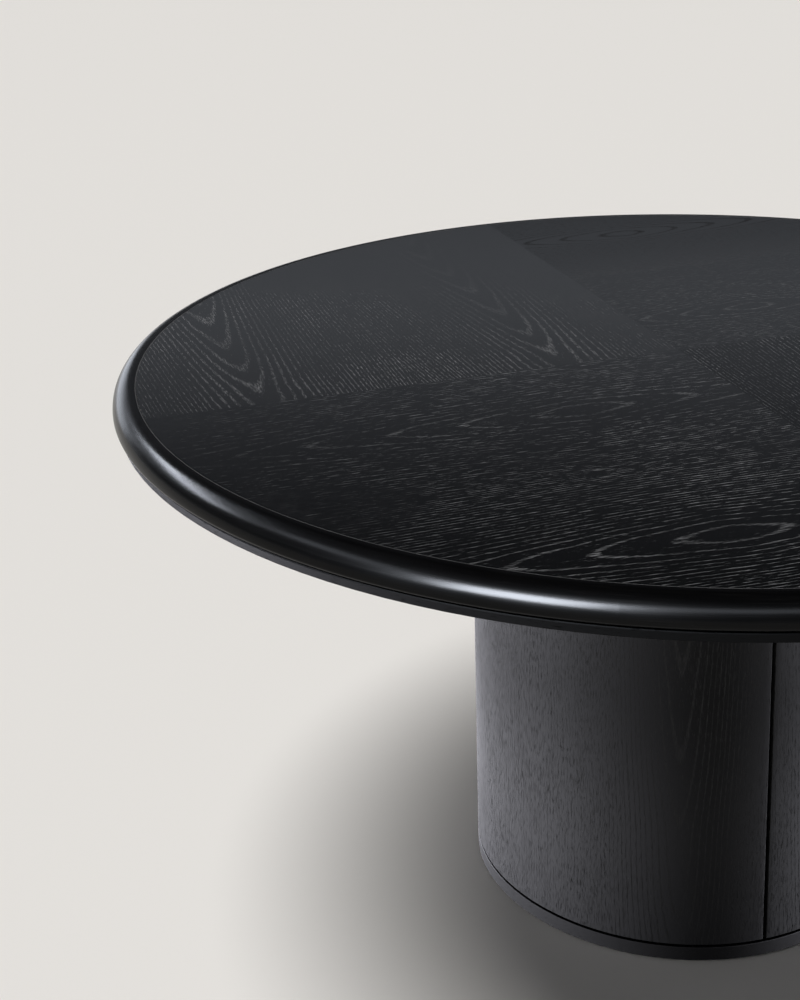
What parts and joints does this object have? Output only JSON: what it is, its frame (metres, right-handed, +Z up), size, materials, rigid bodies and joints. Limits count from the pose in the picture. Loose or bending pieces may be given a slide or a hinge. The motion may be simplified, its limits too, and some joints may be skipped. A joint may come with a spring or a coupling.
{
  "type": "round cocktail table",
  "caption": "Round low table of black-stained oak: quarter-veneered top with a rounded rim, on a drum base with a reveal, a plinth and levelling feet.",
  "frame": {"origin": "on the floor, at the axis of the drum", "axes": "+Z up, X and Y along the two seams of the top; the drum's reveals face -Y and +Y"},
  "size_m": [0.914, 0.914, 0.454],
  "materials": {
    "oak_top": "black-stained open-pore oak veneer, satin",
    "oak_rim": "black-stained solid oak, smooth satin",
    "oak_drum": "black-stained open-pore oak veneer, upright grain, satin",
    "black_board": "black-stained board, satin",
    "fibre_board": "bare fibreboard, matt",
    "plywood": "bare birch plywood, matt",
    "zinc_steel": "zinc-plated",
    "black_nylon": "moulded, matt"
  },
  "bodies": {
    "table": {"top_veneer_front": "oak_top", "top_veneer_left": "oak_top", "top_veneer_back": "oak_top", "top_veneer_right": "oak_top", "rim_segment_1": "oak_rim", "rim_segment_2": "oak_rim", "rim_segment_3": "oak_rim", "rim_segment_4": "oak_rim", "rim_segment_5": "oak_rim", "rim_segment_6": "oak_rim", "drum_veneer_left": "oak_drum", "drum_veneer_right": "oak_drum", "sub_top": "black_board", "plinth": "black_board", "shadow_spacer": "black_board", "plinth_spacer": "black_board", "balance_veneer": "black_board", "reveal_batten_front": "black_board", "reveal_batten_back": "black_board", "top_core": "fibre_board", "drum_shell_left": "plywood", "drum_shell_right": "plywood", "drum_top_plate": "plywood", "drum_bottom_plate": "plywood", "drum_rib": "plywood", "side_batten_left": "plywood", "side_batten_right": "plywood", "rim_tongues": "plywood", "top_bolts": "zinc_steel", "top_washers": "zinc_steel", "top_inserts": "zinc_steel", "sub_top_screws": "zinc_steel", "top_plate_screws": "zinc_steel", "bottom_plate_screws": "zinc_steel", "plinth_screws": "zinc_steel", "leveller_inserts": "zinc_steel"},
    "leveller_pad_1": {"leveller_pad_1": "black_nylon"},
    "leveller_stem_1": {"leveller_stem_1": "zinc_steel"},
    "leveller_pad_2": {"leveller_pad_2": "black_nylon"},
    "leveller_stem_2": {"leveller_stem_2": "zinc_steel"},
    "leveller_pad_3": {"leveller_pad_3": "black_nylon"},
    "leveller_stem_3": {"leveller_stem_3": "zinc_steel"},
    "leveller_pad_4": {"leveller_pad_4": "black_nylon"},
    "leveller_stem_4": {"leveller_stem_4": "zinc_steel"}
  },
  "joints": [
    {"name": "leveller_slide_1", "type": "slide", "parent": "table", "child": "leveller_pad_1", "axis": [0, 0, -1], "range_m": [0, 0.0101]},
    {"name": "leveller_turn_1", "type": "hinge", "parent": "leveller_pad_1", "child": "leveller_stem_1", "pos_m": [0.09546, 0.09546, 0], "axis": [0, 0, -1], "range_deg": [0, 2880]},
    {"name": "leveller_slide_2", "type": "slide", "parent": "table", "child": "leveller_pad_2", "axis": [0, 0, -1], "range_m": [0, 0.0101]},
    {"name": "leveller_turn_2", "type": "hinge", "parent": "leveller_pad_2", "child": "leveller_stem_2", "pos_m": [-0.09546, 0.09546, 0], "axis": [0, 0, -1], "range_deg": [0, 2880]},
    {"name": "leveller_slide_3", "type": "slide", "parent": "table", "child": "leveller_pad_3", "axis": [0, 0, -1], "range_m": [0, 0.0101]},
    {"name": "leveller_turn_3", "type": "hinge", "parent": "leveller_pad_3", "child": "leveller_stem_3", "pos_m": [-0.09546, -0.09546, 0], "axis": [0, 0, -1], "range_deg": [0, 2880]},
    {"name": "leveller_slide_4", "type": "slide", "parent": "table", "child": "leveller_pad_4", "axis": [0, 0, -1], "range_m": [0, 0.0101]},
    {"name": "leveller_turn_4", "type": "hinge", "parent": "leveller_pad_4", "child": "leveller_stem_4", "pos_m": [0.09546, -0.09546, 0], "axis": [0, 0, -1], "range_deg": [0, 2880]}
  ],
  "couplings": [
    {"joint": "leveller_slide_1", "follows": "leveller_turn_1", "m_per_rad": 0.00019894},
    {"joint": "leveller_slide_2", "follows": "leveller_turn_2", "m_per_rad": 0.00019894},
    {"joint": "leveller_slide_3", "follows": "leveller_turn_3", "m_per_rad": 0.00019894},
    {"joint": "leveller_slide_4", "follows": "leveller_turn_4", "m_per_rad": 0.00019894}
  ]
}
